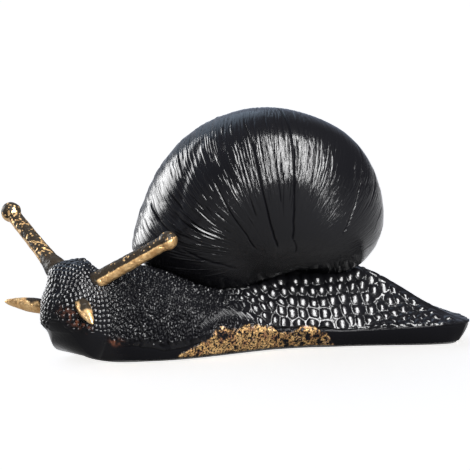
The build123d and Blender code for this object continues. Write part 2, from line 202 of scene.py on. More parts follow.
def skin(s, v):
    """Body surface: s along the spine, v from the near base corner (-1) over the near rim, the
    back (0) and the far rim to the far base corner (1)."""
    tab = pchip(TAB[:, 0], TAB[:, 1:], np.minimum(s, NOSE_S))
    wn, wf, zc, zt, bi, zb, a1, b1, a2, b2 = np.moveaxis(tab, -1, 0)
    t = np.clip((s - NOSE_S) / NOSE_L, 0, 1)
    f = (1 - t ** NOSE_P) ** (1 / NOSE_P)
    w, av, h = np.where(v < 0, wn, wf), np.abs(v), zt - zc
    a = np.clip(1 - av / RIM_V, 0, 1)
    lat = (1 - a) ** 3 * w + 3 * a * (1 - a) ** 2 * w * a1 + 3 * a * a * (1 - a) * w * a2
    z = ((1 - a) ** 3 * zc + 3 * a * (1 - a) ** 2 * (zc + h * b1)
         + 3 * a * a * (1 - a) * (zc + h * b2) + a ** 3 * zt)
    r = np.clip((av - RIM_V) / (1 - RIM_V), 0, 1)
    lat = np.where(av > RIM_V, w - bi * (0.35 * r + 0.65 * r * r), lat)
    z = np.where(av > RIM_V, zc + (zb - zc) * r, z)
    z = NOSE_Z + (z - NOSE_Z) * f
    k = np.clip(1 - s / TAIL_END, 0, 1)
    lat = lat * f * (0.35 + 0.65 * np.sqrt(1 - k * k))
    p, n = spine(s)
    xy = p + n * (lat * -np.sign(v))[..., None]
    z = z - 3.2 * np.exp(-((s - 119) / 12.0) ** 2) * smooth(12, 27, z) * smooth(0.02, -0.25, v)
    run = np.clip(1 - s / TAIL_RUN, 0, 1) ** 2
    xy[..., 0] -= run * (0.9 + 3.4 * np.clip(1 - z / 7.5, 0, 1) ** 1.5)
    xy[..., 0] += cheek(z) * smooth(-45, -75, xy[..., 0])
    z = z - 2.7 * smooth(-59, -53.5, xy[..., 0]) * smooth(-44, -49.5, xy[..., 0]) * smooth(23, 33, z)
    return np.concatenate([xy, z[..., None]], -1)


# ---- shell --------------------------------------------------------------------------------
TILT, TURN, END_R, GROWTH, FATNESS, DROP, END_A = 35.8, -5.4, 25.9, 1.80, 1.18, 1.35, 179.7
SHELL_AXIS_AT = np.array([18.1, 17.7, 54.9])
SHELL_MID = np.array([9.0, 8.0, 56.0])
BELLY_AT, BELLY_R = np.array([20.0, 0.5, 52.0]), np.array([33.0, 27.0, 25.0])
OUT_OF_ROUND = [-0.017, -0.0215, -0.011, 0.003, 0.013, 0.0135, 0.017, 0.026, 0.036, 0.039, 0.0355,
                0.023, 0.015, 0.005, -0.009, -0.02, -0.03, -0.0325, -0.027, 0.012, 0.075, 0.03,
                -0.03, -0.053, -0.044, -0.022, -0.013, -0.001, -0.01, -0.068, -0.105, -0.074,
                -0.02, 0.015, 0.014, 0.001]
tilt, turn = np.radians(TILT), np.radians(TURN)
AXIS = np.array([np.cos(tilt) * np.sin(turn), -np.cos(tilt) * np.cos(turn), -np.sin(tilt)])
E1 = unit(np.array([1.0, 0, 0]) - AXIS * AXIS[0])
E2 = np.cross(E1, AXIS)
E2 = E2 if E2[2] > 0 else -E2
_a = np.radians(END_A) - np.linspace(3.2 * 2 * np.pi, 0, 700)
_g = GROWTH ** ((_a - np.radians(END_A)) / (2 * np.pi))
BALLS = (SHELL_AXIS_AT + (END_R * _g)[:, None] * (np.cos(_a)[:, None] * E1 + np.sin(_a)[:, None] * E2)
         + (DROP * END_R * (_g - 0.6))[:, None] * AXIS)
BALL_R = FATNESS * END_R * _g
SIDE = np.array([0, np.cos(np.radians(8)), -np.sin(np.radians(8))])
SIDE_UP = np.array([0, np.sin(np.radians(8)), np.cos(np.radians(8))])
NEAR_POLE = unit(np.array([0.198, -0.82, -0.537]))


def shell_radius(d):
    """Distance from SHELL_MID to the shell's outside along each unit direction."""
    shape, d = d.shape[:-1], d.reshape(-1, 3)
    m = BALLS - SHELL_MID
    k = (m ** 2).sum(1) - BALL_R ** 2
    r = np.empty(len(d))
    for i in range(0, len(d), 8192):
        b = d[i:i + 8192] @ m.T
        disc = b * b - k
        r[i:i + 8192] = np.where(disc > 0, b + np.sqrt(np.maximum(disc, 0)), 0).max(1)
    q = SHELL_MID - BELLY_AT
    a, b = ((d / BELLY_R) ** 2).sum(1), (d * q / BELLY_R ** 2).sum(1)
    c = ((q / BELLY_R) ** 2).sum() - 1
    r = (r ** 12 + ((-b + np.sqrt(b * b - a * c)) / a) ** 12) ** (1 / 12)
    th = np.degrees(np.arctan2(d @ SIDE_UP, d[:, 0])) % 360
    f = np.interp(th, np.arange(0, 361, 10), OUT_OF_ROUND + OUT_OF_ROUND[:1])
    r = r * (1 + f * np.clip(1 - (d @ SIDE) ** 2, 0, 1) ** 1.5)
    return r.reshape(shape)


def shell_dir(theta, lam):
    """Direction on the growth line lam, theta away from the near pole. The centre of the rings
    slides from the near pole to the axis of the coil, so that they end in the spire."""
    k = np.clip(theta / np.pi, 0, 1)[..., None]
    k = k * k * (3 - 2 * k)
    a = unit(NEAR_POLE * (1 - k) + AXIS * k)
    e1 = unit(np.array([1.0, 0, 0]) - a * a[..., :1])
    e2 = np.cross(e1, a)
    return (np.cos(theta)[..., None] * a
            + np.sin(theta)[..., None] * (np.cos(lam)[..., None] * e1 + np.sin(lam)[..., None] * e2))


# ---- meshes -------------------------------------------------------------------------------
def mesh_object(name, points, faces, attributes=(), material=None):
    """points in drafting millimetres; faces as one or more arrays with 3 or 4 columns."""
    me = bpy.data.meshes.new(name)
    co = ((points.reshape(-1, 3) + SHIFT) / 1000).astype(np.float32)
    loops = np.concatenate([f.reshape(-1) for f in faces]).astype(np.int32)
    total = np.concatenate([np.full(len(f), f.shape[1]) for f in faces]).astype(np.int32)
    start = np.concatenate([[0], np.cumsum(total)[:-1]]).astype(np.int32)
    me.vertices.add(len(co))
    me.vertices.foreach_set("co", co.ravel())
    me.loops.add(len(loops))
    me.loops.foreach_set("vertex_index", loops)
    me.polygons.add(len(total))
    me.polygons.foreach_set("loop_start", start)
    me.polygons.foreach_set("use_smooth", np.ones(len(total), bool))
    me.update(calc_edges=True)
    me.validate()
    for key, values in attributes:
        values = np.asarray(values, np.float32)
        if values.ndim == 1:
            me.attributes.new(key, "FLOAT", "POINT").data.foreach_set("value", values)
        else:
            me.attributes.new(key, "FLOAT_VECTOR", "POINT").data.foreach_set("vector", values.ravel())
    ob = bpy.data.objects.new(name, me)
    scene.collection.objects.link(ob)
    if material:
        me.materials.append(material)
    return ob


def quads(n, m, closed=False, first=0):
    i = np.arange(n * m).reshape(n, m) + first
    a = i if not closed else np.concatenate([i, i[:, :1]], 1)
    return np.stack([a[:-1, :-1], a[1:, :-1], a[1:, 1:], a[:-1, 1:]], -1).reshape(-1, 4)


def normals(p, closed=False):
    """Outward or inward normals of a grid of points, square to both of its ways."""
    du = np.gradient(p, axis=0)
    if closed:
        dv = (np.roll(p, -1, 1) - np.roll(p, 1, 1)) / 2
    else:
        dv = np.gradient(p, axis=1)
    return unit(np.cross(du, dv))


# ---- materials ----------------------------------------------------------------------------
def material(name):
    m = bpy.data.materials.new(name)
    m.use_nodes = True
    nt = m.node_tree
    return m, nt, nt.nodes["Principled BSDF"]


def node(nt, kind, **values):
    n = nt.nodes.new(kind)
    for k, v in values.items():
        if k.startswith("_"):
            setattr(n, k[1:], v)
        else:
            n.inputs[k.replace("_", " ")].default_value = v
    return n


def ramp(nt, source, stops):
    n = nt.nodes.new("ShaderNodeValToRGB")
    e = n.color_ramp.elements
    while len(e) < len(stops):
        e.new(0.5)
    for el, (pos, col) in zip(e, stops):
        el.position = pos
        el.color = (*col, 1) if len(col) == 3 else col
    nt.links.new(source, n.inputs[0])
    return n.outputs[0]


def grey(x):
    return (x, x, x)


def attribute(nt, name):
    return node(nt, "ShaderNodeAttribute", _attribute_name=name)


def mix_value(nt, fac, a, b):
    n = nt.nodes.new("ShaderNodeMix")
    n.data_type = "FLOAT"
    nt.links.new(fac, n.inputs[0])
    for v, i in ((a, 2), (b, 3)):
        if hasattr(v, "links"):
            nt.links.new(v, n.inputs[i])
        else:
            n.inputs[i].default_value = v
    return n.outputs[0]


def mix_colour(nt, fac, a, b):
    n = nt.nodes.new("ShaderNodeMix")
    n.data_type = "RGBA"
    nt.links.new(fac, n.inputs[0])
    for v, i in ((a, 6), (b, 7)):
        if hasattr(v, "links"):
            nt.links.new(v, n.inputs[i])
        else:
            n.inputs[i].default_value = (*v, 1)
    return n.outputs[2]


def noise_node(nt, vector, scale, detail=2.0, rough=0.5):
    n = node(nt, "ShaderNodeTexNoise", Scale=scale, Detail=detail, Roughness=rough)
    if vector is not None:
        nt.links.new(vector, n.inputs["Vector"])
    return n.outputs["Fac"]


def bump(nt, bsdf, height, distance, strength=1.0):
    b = node(nt, "ShaderNodeBump", Strength=strength, Distance=distance)
    nt.links.new(height, b.inputs["Height"])
    nt.links.new(b.outputs["Normal"], bsdf.inputs["Normal"])


LACQUER = (0.0013, 0.0013, 0.0016)
GOLD = (0.37, 0.235, 0.108)


def body_material():
    m, nt, b = material("black_lacquer_body")
    at = node(nt, "ShaderNodeTexCoord").outputs["Object"]
    gold = attribute(nt, "gold").outputs["Fac"]
    warm = attribute(nt, "warm").outputs["Fac"]
    spots = noise_node(nt, at, 2600, 3, 0.7)
    grain = noise_node(nt, at, 1100, 3, 0.6)
    tone = noise_node(nt, at, 260, 2, 0.5)
    colour = ramp(nt, tone, [(0.30, (0.072, 0.034, 0.019)), (0.46, (0.13, 0.076, 0.031)),
                             (0.60, (0.172, 0.11, 0.047)), (0.74, (0.12, 0.07, 0.047))])
    fleck = ramp(nt, grain, [(0.42, grey(0)), (0.52, grey(1))])
    fleck2 = ramp(nt, spots, [(0.42, grey(0)), (0.52, grey(1))])
    k1 = nt.nodes.new("ShaderNodeMath")
    k1.operation = "MULTIPLY"
    nt.links.new(fleck, k1.inputs[0])
    nt.links.new(fleck2, k1.inputs[1])
    k = nt.nodes.new("ShaderNodeMath")
    k.operation = "MULTIPLY"
    nt.links.new(k1.outputs[0], k.inputs[0])
    nt.links.new(gold, k.inputs[1])
    mask = k.outputs[0]
    dark = mix_colour(nt, warm, LACQUER, (0.10, 0.035, 0.018))
    nt.links.new(mix_colour(nt, mask, dark, colour), b.inputs["Base Color"])
    nt.links.new(mix_value(nt, mask, 0.0, 0.45), b.inputs["Metallic"])
    nt.links.new(mix_value(nt, mask, mix_value(nt, attribute(nt, "fine").outputs["Fac"], 0.2, 0.1), 0.5), b.inputs["Roughness"])
    spark = attribute(nt, "spark").outputs["Fac"]
    # low gloss where fine is high and spark low; under the shell this is painted shade
    gloss = mix_value(nt, attribute(nt, "fine").outputs["Fac"], 0.18, mix_value(nt, spark, 0.022, 0.135))
    nt.links.new(gloss, b.inputs["Specular IOR Level"])
    height = mix_value(nt, gold, noise_node(nt, at, 900, 2, 0.5), spots)
    bump(nt, b, height, 0.00014, 0.7)
    return m


def shell_material():
    m, nt, b = material("black_lacquer_shell")
    lines = attribute(nt, "grow").outputs["Vector"]
    at = node(nt, "ShaderNodeTexCoord").outputs["Object"]
    b.inputs["Base Color"].default_value = (*LACQUER, 1)
    b.inputs["Roughness"].default_value = 0.18
    # the deeper grooves get much less gloss: painted shade in the grooves
    crease = attribute(nt, "crease").outputs["Fac"]
    nt.links.new(mix_value(nt, crease, 0.15, 0.015), b.inputs["Specular IOR Level"])
    fine = noise_node(nt, lines, 1.0, 3, 0.65)
    bump(nt, b, fine, 0.0003, 0.7)
    return m


def gold_material():
    m, nt, b = material("gold_plate")
    at = node(nt, "ShaderNodeTexCoord").outputs["Object"]
    gold = attribute(nt, "gold").outputs["Fac"]
    tone = noise_node(nt, at, 420, 3, 0.6)
    pits = noise_node(nt, at, 1150, 2, 0.5)
    colour = ramp(nt, tone, [(0.34, (0.28, 0.16, 0.066)), (0.5, GOLD), (0.66, (0.48, 0.325, 0.16))])
    # where the gold attribute is low the plate is near black: dark paint at the roots and in patches, painted shade
    # along the upper sides of stalks and feelers
    nt.links.new(mix_colour(nt, gold, (0.006, 0.0045, 0.003), colour), b.inputs["Base Color"])
    nt.links.new(mix_value(nt, gold, 0.0, 1.0), b.inputs["Metallic"])
    nt.links.new(mix_value(nt, gold, 0.45, 0.4), b.inputs["Roughness"])
    b.inputs["Specular IOR Level"].default_value = 0.06
    bump(nt, b, pits, 0.0002, 0.6)
    return m


def plain_material(name, colour, roughness, metallic=0.0, grain=900):
    m, nt, b = material(name)
    at = node(nt, "ShaderNodeTexCoord").outputs["Object"]
    b.inputs["Base Color"].default_value = (*colour, 1)
    b.inputs["Roughness"].default_value = roughness
    b.inputs["Metallic"].default_value = metallic
    bump(nt, b, noise_node(nt, at, grain, 3, 0.6), 0.0001, 0.5)
    return m


BODY = body_material()
SHELL = shell_material()
PLATE = gold_material()

# ---- the body's grid ----------------------------------------------------------------------
rows = np.concatenate([5 * (1 - np.cos(np.linspace(0, math.pi / 2, 22)))[:-1], np.arange(5, 112, 0.36),
                       np.arange(112, 171, 0.21)])
NOSE_T = np.sin(np.linspace(0, math.pi / 2, 96))
rows = np.concatenate([rows, NOSE_S + NOSE_L * NOSE_T[1:-1]])
fine_v = np.linspace(-1, 1, 1601)
NCOL = 374
body = np.zeros((len(rows), NCOL, 3))
vs = np.zeros((len(rows), NCOL))
for i, s in enumerate(rows):
    p = skin(np.full(fine_v.shape, s), fine_v)
    length = np.concatenate([[0], np.cumsum(np.linalg.norm(np.diff(p, axis=0), axis=1))])
    rim_n, rim_f = np.interp([-RIM_V, RIM_V], fine_v, length)
    # a little denser on the near side, with a column on each rim and one on the back
    mid = np.interp(0, fine_v, length)
    want = np.concatenate([np.linspace(0, rim_n, 26)[:-1], np.linspace(rim_n, mid, 210)[:-1],
                           np.linspace(mid, rim_f, 116)[:-1], np.linspace(rim_f, length[-1], 25)])
    vs[i] = np.interp(want, length, fine_v)
    body[i] = skin(np.full(NCOL, s), vs[i])
steps = np.linalg.norm(np.diff(body, axis=1), axis=2)
arc = np.concatenate([np.zeros((len(rows), 1)), np.cumsum(steps, axis=1)], 1)
NEAR_RIM, BACK, FAR_RIM = 25, 234, 349
w_near = arc - arc[:, NEAR_RIM:NEAR_RIM + 1]
w_far = arc[:, FAR_RIM:FAR_RIM + 1] - arc
is_near = np.arange(NCOL)[None, :] <= BACK
up = np.where(is_near, w_near, w_far)                # height above the rim along the skin
S = np.repeat(rows[:, None], NCOL, 1)
out = normals(body)
if ((body[200, 100] - body[200, BACK]) * out[200, 100]).sum() < 0:
    out = -out


# ---- cells of the skin ----------------------------------------------------------------------
rng = np.random.default_rng(41)
seeds = []      # s, height above the rim, near side?, half size along and across, angle, height


def add(s, w, near, a, b, angle, height, kind=0):
    seeds.append((s, w, near, a, b, math.radians(angle), height, kind))


# large scales of the near flank, behind the patch: (s, height above the rim)
FLANK = [(77.1, 21.8), (72.3, 21.7), (66.0, 22.3), (59.3, 23.0), (54.1, 24.4), (50.3, 26.2), (46.9, 28.8),
         (84.5, 16.4), (79.7, 17.4), (74.5, 17.1), (69.2, 16.6), (64.6, 17.3), (59.7, 18.2),
         (55.0, 19.5), (49.2, 20.4), (44.8, 21.8), (39.4, 20.2),
         (86.9, 11.3), (81.2, 12.1), (75.1, 11.7), (69.3, 11.1), (64.4, 11.5), (58.6, 12.7),
         (52.8, 14.3), (47.4, 14.4), (42.0, 16.0),
         (69.5, 7.2), (64.0, 7.2), (57.1, 7.9), (52.2, 8.8), (45.8, 9.7), (39.5, 10.6), (35.0, 12.7),
         (88.4, 19.2), (90.2, 15.6), (93.8, 18.4), (98.9, 16.6), (103.2, 15.2), (106.9, 14.0),
         (101.8, 12.6), (96.3, 13.5), (92.5, 10.6), (87.8, 8.2), (106.6, 11.0), (110.5, 10.9),
         (96.7, 9.5), (101.1, 8.8), (97.0, 5.6),
         (31.5, 24.3), (26.5, 21.7), (22.9, 18.8), (26.2, 13.4), (18.7, 14.7), (12.7, 9.2), (7.1, 7.5),
         (45.0, 4.6), (82.0, 6.9), (76.0, 6.6)]
for s, w in FLANK:
    lean = -np.interp(s, [20, 45, 70, 90, 112], [5, 14, 20, 34, 46])
    size = np.interp(s, [5, 20, 40, 60, 88, 100, 112], [1.7, 1.9, 2.2, 2.35, 2.2, 1.8, 1.3])
    tall = np.interp(s, [40, 70, 90, 110], [1.05, 1.12, 1.25, 1.5])
    add(s, w, True, size * rng.uniform(0.9, 1.06), size * tall, lean + rng.uniform(-8, 8), np.interp(w, [8, 14, 20], [0.85, 1.0, 1.4]))
flank_at = np.array(FLANK)

# comb of short folds where the neck leaves the foot, and the folds behind it
for k in range(11):
    t = k / 10
    add(128.6 - 12.6 * t, 3.0 + 5.6 * t, True, 0.56, 2.1, -40 + rng.uniform(-5, 5), 0.5, 1)
for k in range(7):
    t = k / 6
    add(113.8 - 9.5 * t, 8.2 - 3.0 * t, True, 0.8, 2.6, -47 + rng.uniform(-6, 6), 0.45, 1)
comb_at = np.array([(q[0], q[1]) for q in seeds if q[7] == 1])
placed = np.concatenate([flank_at, comb_at])


def top_of(s, near):
    i = min(np.searchsorted(rows, s), len(rows) - 1)
    return up[i, BACK] if near else w_far[i, BACK]


def fill(s0, s1, near, pitch, tall, low, jitter, height, angle, aspect=1.0, clear=None, kind=0):
    """Jittered brick rows of cells between s0 and s1, upwards from low."""
    s, k = s0, 0
    while s < s1:
        p = pitch(s)
        q = p * tall
        top = top_of(s, near)
        w = low(s) + (0.5 * q if k % 2 else 0.0)
        while w < top - 0.3 * q:
            ss, ww = s + rng.uniform(-jitter, jitter) * p, w + rng.uniform(-jitter, jitter) * q
            ok = True
            if clear is not None and near:
                d = np.hypot((placed[:, 0] - ss) / 1.0, (placed[:, 1] - ww) / 1.15)
                ok = d.min() > clear * p
            if ok and 0.4 < ss < NOSE_S + NOSE_L - 0.3:
                r = rng.uniform(1.0, aspect)
                add(ss, ww, near, 0.5 * p / math.sqrt(r), 0.5 * q * math.sqrt(r),
                    angle(s) + rng.uniform(-1, 1) * (90 if aspect > 1.3 else 12), height(s), kind)
            w += q
        s += p
        k += 1


flank_pitch = lambda s: np.interp(s, [0, 12, 30, 50, 88, 100, 112, 120, 126], [3.0, 3.4, 3.9, 4.4, 4.3, 3.4, 2.2, 1.7, 1.5])
flank_lean = lambda s: -np.interp(s, [20, 45, 70, 90, 112], [5, 14, 20, 34, 46])
for side in (True, False):
    fill(1.5, 116, side, flank_pitch, 1.05, lambda s: 2.2, 0.2, lambda s: np.interp(s, [0, 14, 40, 110, 118], [0.4, 0.6, 0.9, 0.85, 0.6]),
         flank_lean, clear=0.95)
    fill(114, 168, side, lambda s: np.interp(s, [114, 122, 140, 168], [1.9, 1.8, 1.75, 1.85]), 1.0,
         lambda s: np.interp(s, [114, 130, 150, 168], [0.6, -1.0, -2.4, -2.0]), 0.34, lambda s: rng.uniform(0.7, 1.05), lambda s: 0,
         aspect=2.4, clear=0.75, kind=2)
# beads of the head stand in rows at even distances
walk = np.concatenate([[0], np.cumsum(np.linalg.norm(np.diff(body[:, 110], axis=0), axis=1))])
r168 = np.interp(168, rows, walk)
bead_s = np.interp(np.arange(r168 + 0.9, walk[-1] - 0.8, 1.85), walk, rows)
for k, s in enumerate(bead_s):
    i = min(np.searchsorted(rows, s), len(rows) - 1)
    for near in (True, False):
        end = up[i, BACK] if near else w_far[i, BACK]
        base = np.interp(s, [168, 176, 188], [-1.0, -5.0, -9.0])
        size = np.interp(s, [168, 186, 188.2], [1.0, 1.0, 0.8])
        for w in np.arange(base + (0.9 if k % 2 else 0), end - 0.5, 1.9):
            add(s + rng.uniform(-0.15, 0.15), w + rng.uniform(-0.25, 0.25), near, 0.92 * size, 0.98 * size,
                rng.uniform(-10, 10), 0.5, 3)

SD = np.array(seeds, float)
f1 = np.full(S.shape, 9.0)
f2 = np.full(S.shape, 9.0)
who = np.zeros(S.shape, int)
rise_w = np.zeros(S.shape)
for k, (s, w, near, a, b, ang, hgt, kind) in enumerate(SD):
    i0 = int(np.clip(np.searchsorted(rows, s), 1, len(rows) - 2))
    if near:
        j0 = int(np.clip(np.searchsorted(w_near[i0], w), 1, BACK))
    else:
        j0 = int(np.clip(NCOL - np.searchsorted(w_far[i0][::-1], w), BACK, NCOL - 2))
    c = body[i0, j0]
    reach = 2.4 * max(a, b) + 0.6
    i1, i2 = np.searchsorted(rows, [s - reach * 1.3, s + reach * 1.3])
    i1, i2 = max(i1, 0), min(i2 + 1, len(rows))
    j1 = np.searchsorted(arc[i0], arc[i0, j0] - reach * 1.25)
    j2 = np.searchsorted(arc[i0], arc[i0, j0] + reach * 1.25) + 1
    t1 = unit(body[i0 + 1, j0] - body[i0 - 1, j0])
    t2 = body[i0, j0 + 1] - body[i0, j0 - 1]
    t2 = unit(t2 - t1 * (t2 @ t1)) * (1 if near else -1)
    e1 = math.cos(ang) * t1 + math.sin(ang) * t2
    e2 = -math.sin(ang) * t1 + math.cos(ang) * t2
    dp = body[i1:i2, j1:j2] - c
    d = np.hypot(dp @ e1 / a, dp @ e2 / b)
    g1, g2, gw, gr = f1[i1:i2, j1:j2], f2[i1:i2, j1:j2], who[i1:i2, j1:j2], rise_w[i1:i2, j1:j2]
    first = d < g1
    g2[...] = np.where(first, g1, np.minimum(g2, d))
    g1[...] = np.where(first, d, g1)
    gw[...] = np.where(first, k, gw)
    gr[...] = np.where(first, dp @ t2, gr)

edge = np.clip(f2 - f1, 0, 3)
height = SD[who, 6]
kind = SD[who, 7].astype(int)
tilt_a = np.sin(who * 12.9898) * 0.5
tilt_b = np.cos(who * 78.233) * 0.5
inside = np.clip(1 - 0.42 * f1 ** 2, 0, 1)
web = np.exp(-(edge / 0.10) ** 2)
scales = smooth(0.08, 0.5, edge) * np.clip(1 - 0.62 * f1 ** 2, 0, 1) + 0.16 * web
grains = smooth(0.0, 0.45, edge) * np.sqrt(np.clip(1 - 0.7 * f1 ** 2, 0.0, 1))
folds = smooth(0.0, 0.6, edge) * np.clip(1 - 0.3 * f1 ** 2, 0, 1)
lean_out = np.interp(SD[who, 1], [9, 15, 21], [0.05, 0.28, 0.42]) * smooth(30, 40, S) * smooth(0.05, 0.4, edge)
scales = scales + lean_out * rise_w / np.maximum(height, 0.3)
cell = np.where(kind == 0, scales, np.where(kind == 1, folds, grains)) * height

spark = smooth(0.45, 0.85, np.abs(np.sin(who * 37.719 + 0.5) * 43758.5453) % 1.0) * 0.75 * (1 - smooth(158, 168, S)) + smooth(158, 168, S) * (0.4 + 0.6 * smooth(-1, 9, up))

spark = np.where(kind == 1, 0.45, spark)

# where the textured skin ends above the smooth edge band of the foot
n1 = noise(body, 2.4, 5)
n2 = noise(body, 1.0, 6)
edge_w = np.where(is_near,
                  np.interp(S, [0, 8, 20, 30, 36, 54, 70, 114, 120, 128, 139, 146, 151, 158, 168, 176, 188],
                            [0.2, 0.3, 1.5, 1.7, 0.9, 0.5, 1.3, 1.6, 0.4, -2.0, -4.0, -4.4, -3.4, -2.4, -3.6, -5.5, -9.0]),
                  np.interp(S, [0, 20, 60, 140, 160, 172, 188], [0.3, 1.2, 0.8, 0.8, 0.0, -5.0, -9.0]))
skin_on = smooth(-0.35, 0.35, up - edge_w - 0.5 * n1)
head = smooth(158, 168, S)
band = (1 - skin_on) * (1 - head)
lip = np.exp(-((up - edge_w - 0.5 * n1 - 0.35) / 0.45) ** 2) * (0.5 + 0.5 * n2) * (1 - head)
step = (0.38 - 0.2 * smooth(112, 124, S)) * skin_on * (1 - head)
groove = np.exp(-((up - edge_w - 0.5 * n1 + 0.45) / 0.4) ** 2) * 0.22 * (1 - head)
# the back of the tail stays nearly smooth
ridge = np.where(S < 60, smooth(1.0, 5.0, np.abs(arc - arc[:, BACK:BACK + 1])) * 0.75 + 0.25, 1)
fade_front = np.where(is_near, smooth(0, 3.2, up - edge_w), smooth(0, 2.0, up - edge_w))
soft = np.where(S > 118, fade_front, 1)
chin = smooth(171, 177, S) * smooth(14.0, 11.5, body[..., 2])
lift = cell * (1 - chin) * skin_on * ridge * soft + step + 0.3 * lip - groove

# gilded patch on the near edge of the foot: top edge over the distance along the spine
PATCH = [(57.2, -8.4), (58.0, -6.6), (59.6, -5.7), (62.0, -2.4), (64.1, -0.2), (69.8, 1.5), (74.5, 1.9),
         (78.9, 1.3), (82.0, 0.0), (85.0, -1.1), (88.0, -1.2), (90.8, -0.4), (95.5, 1.5), (102.1, 2.6), (106, 2.7),
         (109.9, 2.5), (113.1, 1.4), (117, 1.8), (120.6, 3.2), (123.6, 1.2), (126.9, -2.0), (133.9, -4.3),
         (139.2, -7.5), (141.0, -8.6)]
top = np.interp(S, [q[0] for q in PATCH], [q[1] for q in PATCH], left=-20, right=-20)
rag = 0.7 * noise(body, 2.2, 11) + 0.45 * noise(body, 0.9, 12)
gold = smooth(-0.25, 0.25, top + rag - up) * is_near
crumb = (0.45 * noise(body, 1.9, 21) + 0.35 * noise(body, 0.95, 22) + 0.2 * noise(body, 0.5, 23))
lift = lift * (1 - gold) + gold * (0.45 + 0.42 * crumb)
hollow = smooth(-0.42, -0.12, crumb + 0.25 * noise(body, 4.5, 24) - 0.2 * smooth(104, 84, S))
dark_foot = smooth(0.2, 1.3, body[..., 2] + 0.4 * n2)
gold_mask = gold * hollow * dark_foot
warm = (np.exp(-(((S - 184) / 2.6) ** 2 + ((up - 2.5) / 2.0) ** 2)) + 0.8 * np.exp(-(((S - 166) / 2.5) ** 2 + ((up + 1.5) / 1.2) ** 2))
        ) * is_near * smooth(-0.2, 0.5, noise(body, 1.2, 31)) * 0.7

# flat underneath, and no texture at the very base
lift = lift * np.where(gold > 0.5, 1, smooth(0.0, 2.0, np.abs(body[..., 2]))) + 0.05 * noise(body, 6, 3)
lift = lift * smooth(0.0, 0.8, body[..., 2])
surface = body + out * lift[..., None]
surface[..., 2] = np.maximum(surface[..., 2], 0.0)

# seat: nothing of the body stays inside the shell
rel = surface - SHELL_MID
dist = np.linalg.norm(rel, axis=-1)
close = dist < 62
d_close = rel[close] / dist[close][:, None]
r_close = shell_radius(d_close) + 0.35
moved = np.maximum(dist[close], r_close)
surface[close] = SHELL_MID + d_close * moved[:, None]
# where the body is pressed to the shell its gloss is turned down by the fine and spark attributes: painted shade under
# the shell
under_shell_shade = np.zeros(S.shape)
under_shell_shade[close] = smooth(0.5, -0.05, dist[close] - r_close)

# underside: rows closed across at the base, nose and tail closed by fans
n, m = S.shape
nose = np.array([[*spine(np.array(NOSE_S + NOSE_L))[0], NOSE_Z]])
tail_mid = surface[0].mean(0, keepdims=True)
pts = np.concatenate([surface.reshape(-1, 3), nose, tail_mid])
idx = np.arange(n * m).reshape(n, m)
base = np.stack([idx[:-1, m - 1], idx[1:, m - 1], idx[1:, 0], idx[:-1, 0]], -1)
ring = np.concatenate([idx[-1], idx[-1][:1]])
nose_fan = np.stack([ring[:-1], np.full(len(ring) - 1, n * m), ring[1:]], -1)
ring0 = np.concatenate([idx[0], idx[0][:1]])
tail_fan = np.stack([ring0[1:], np.full(len(ring0) - 1, n * m + 1), ring0[:-1]], -1)
flat = lambda v: np.concatenate([v.ravel(), [0, 0]])
body_ob = mesh_object("body_skin", pts, [quads(n, m), base, nose_fan, tail_fan],
                      [("gold", flat(gold_mask)), ("warm", flat(warm)), ("fine", flat(np.maximum(smooth(97, 112, S), np.maximum(band, under_shell_shade)))),
                       ("spark", flat(spark * (1 - np.maximum(band, under_shell_shade))))], BODY)
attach(body_ob, "root")
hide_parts("body_casting")

# ---- the shell's grid ---------------------------------------------------------------------
NT, NL = 205, 1180
theta = np.linspace(0, math.pi, NT + 2)[1:-1]
lam = np.arange(NL) * 2 * math.pi / NL
T, L = np.meshgrid(theta, lam, indexing="ij")
D = shell_dir(T, L)
R = shell_radius(D)
shell = SHELL_MID + D * R[..., None]
out_s = normals(shell, True)
if (out_s[120, 0] * D[120, 0]).sum() < 0:
    out_s = -out_s
across = np.linalg.norm(np.roll(shell, -1, 1) - np.roll(shell, 1, 1), axis=-1) / 2 / (2 * math.pi / NL)  # mm per radian

rise = np.zeros(T.shape)
cols = 2 * math.pi / NL


def line(points, depth, width, soft_ends=True):
    """A ridge (depth > 0) or groove along growth lines: points are (theta, lam) in degrees."""
    q = np.radians(np.array(points, float))
    q = q[np.argsort(q[:, 0])]
    i1, i2 = np.searchsorted(theta, [q[0, 0], q[-1, 0]])
    if i2 - i1 < 2:
        return
    th = theta[i1:i2]
    centre = np.interp(th, q[:, 0], q[:, 1])
    if soft_ends:
        f = smooth(0, 1, np.minimum(np.arange(len(th)), np.arange(len(th))[::-1]) / max(3.0, len(th) * 0.3))
    else:
        f = smooth(0, 1, np.minimum(np.arange(len(th)), np.arange(len(th))[::-1]) / 4.0)
    for i, c, g in zip(range(i1, i2), centre, f):
        a = max(across[i].mean(), 3.0)
        reach = int(math.ceil(3.2 * width / a / cols))
        j = int(round(c / cols)) + np.arange(-reach, reach + 1)
        x = (j * cols - c) * a / width
        np.add.at(rise[i], j % NL, depth * g * np.exp(-x * x))


rs = np.random.default_rng(7)
for _ in range(2300):
    t0 = math.degrees(math.acos(rs.uniform(-0.95, 0.86)))
    l0 = rs.uniform(0, 360)
    span = rs.uniform(7, 26)
    up_down = 1 if rs.uniform() < 0.6 else -1
    w = rs.uniform(0.20, 0.36)
    wig = rs.uniform(-1.2, 1.2, 4)
    th_ = np.linspace(t0 - span / 2, t0 + span / 2, 4)
    if th_[0] < 25 or th_[-1] > 172:
        continue
    strength = np.interp(l0 % 360, [0, 60, 150, 170, 190, 240, 256, 300, 312, 345, 360],
                         [0.4, 0.8, 0.9, 1.6, 2.1, 1.4, 1.0, 1.3, 0.3, 0.2, 0.4])
    if 256 < l0 < 350:
        up_down, w = -1, 0.8 * w
    line(np.stack([th_, l0 + wig * 0.35], 1), up_down * rs.uniform(0.05, 0.15) * strength * smooth(22, 46, t0), w)
